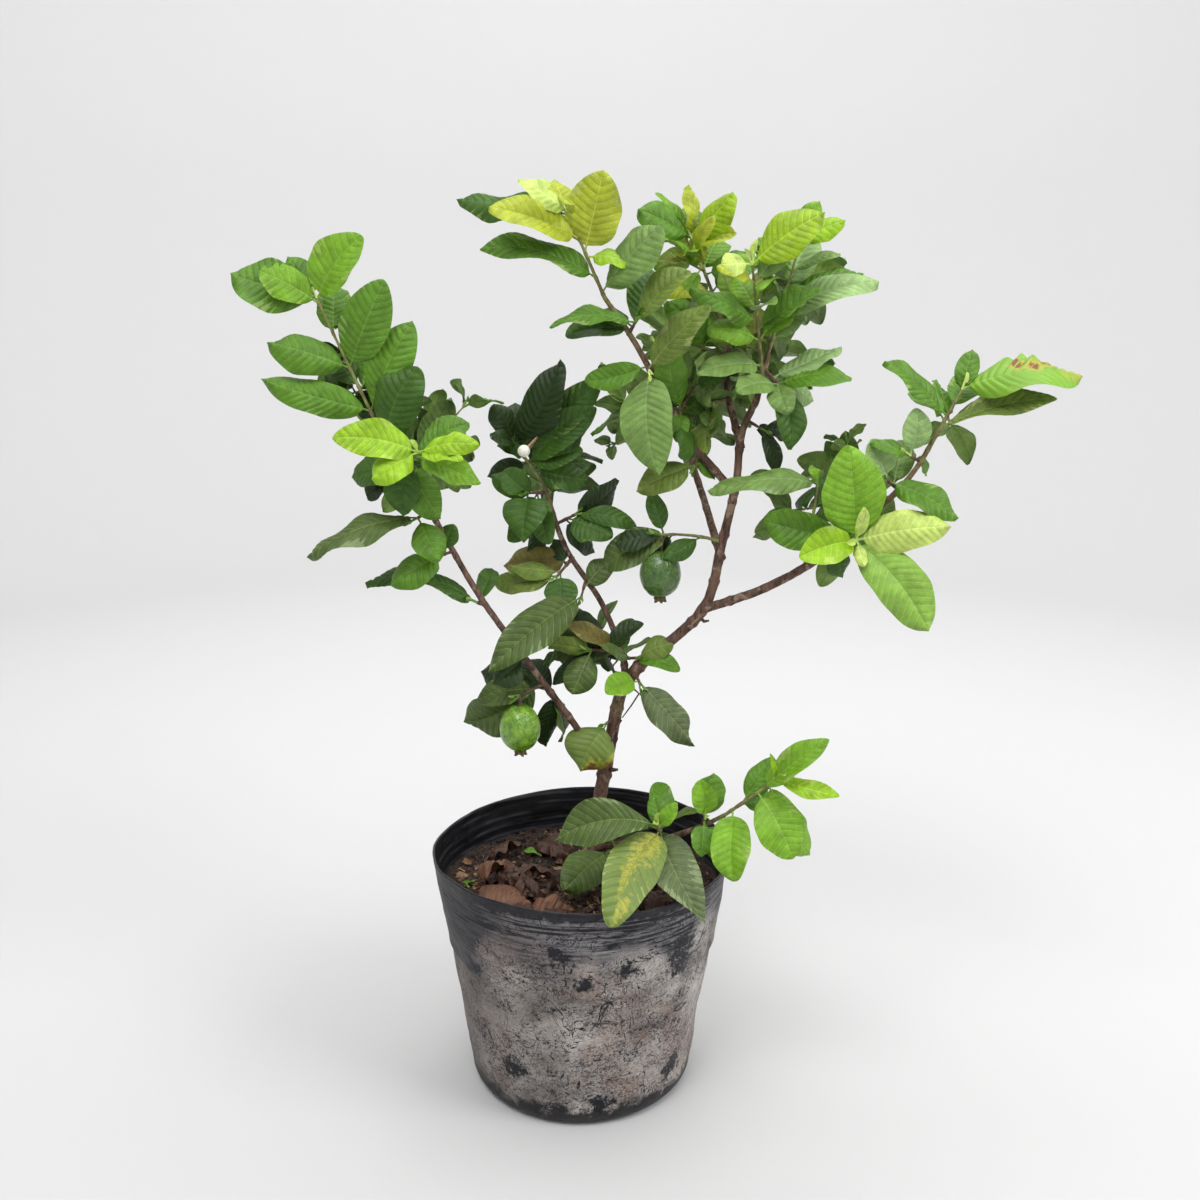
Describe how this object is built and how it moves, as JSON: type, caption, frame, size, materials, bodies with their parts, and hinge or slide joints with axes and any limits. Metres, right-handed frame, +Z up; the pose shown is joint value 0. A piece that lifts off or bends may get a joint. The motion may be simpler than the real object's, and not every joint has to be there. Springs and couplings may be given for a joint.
{
  "type": "potted guava tree",
  "caption": "Young guava tree with spreading boughs, broad ribbed leaves and hanging green fruit, in a round nursery pot of soil.",
  "frame": {"origin": "centre of the pot's flat underside", "axes": "+Z up the plant, -Y towards the front that the picture shows"},
  "size_m": [0.7583, 0.4213, 0.9048],
  "materials": {
    "pot_plastic": "thin black nursery plastic under grey-brown dust, scuffed, glossy inside",
    "potting_mix": "dark crumbly soil with dead leaves on it",
    "bark": "smooth brown bark with fine cracks",
    "foliage": "satin green leaves with sunken veins, lighter below"
  },
  "bodies": {
    "root": {"bough_back": "bark", "bough_crown": "bark", "bough_left": "bark", "bough_low": "bark", "bough_middle": "bark", "bough_right": "bark", "bough_upper_left": "bark", "foliage_crown_back": "foliage", "foliage_crown_back_left": "foliage", "foliage_crown_back_low": "foliage", "foliage_crown_back_right": "foliage", "foliage_crown_front": "foliage", "foliage_crown_inner": "foliage", "foliage_crown_left": "foliage", "foliage_crown_mid": "foliage", "foliage_crown_right": "foliage", "foliage_crown_top": "foliage", "foliage_fork_behind": "foliage", "foliage_fork_left": "foliage", "foliage_fork_low": "foliage", "foliage_fork_right": "foliage", "foliage_fruit_spur": "foliage", "foliage_leader_dark": "foliage", "foliage_left_behind": "foliage", "foliage_left_fork": "foliage", "foliage_left_fork_behind": "foliage", "foliage_left_hook": "foliage", "foliage_left_rosette": "foliage", "foliage_left_spur_high": "foliage", "foliage_left_spur_low": "foliage", "foliage_left_spur_mid": "foliage", "foliage_left_top": "foliage", "foliage_low_foot": "foliage", "foliage_low_mid": "foliage", "foliage_low_spur": "foliage", "foliage_low_tip": "foliage", "foliage_middle_behind": "foliage", "foliage_middle_foot": "foliage", "foliage_middle_front": "foliage", "foliage_middle_low": "foliage", "foliage_middle_right": "foliage", "foliage_middle_top": "foliage", "foliage_right_behind": "foliage", "foliage_right_mid": "foliage", "foliage_right_rosette": "foliage", "foliage_right_shoulder": "foliage", "foliage_right_spur": "foliage", "foliage_right_top": "foliage", "foliage_trunk_leaf": "foliage", "foliage_upper_left_foot": "foliage", "foliage_upper_left_inner": "foliage", "foliage_upper_left_low": "foliage", "foliage_upper_left_mid": "foliage", "foliage_upper_left_top": "foliage", "leader": "bark", "pot": "pot_plastic", "soil": "potting_mix", "trunk": "bark"}
  },
  "joints": []
}
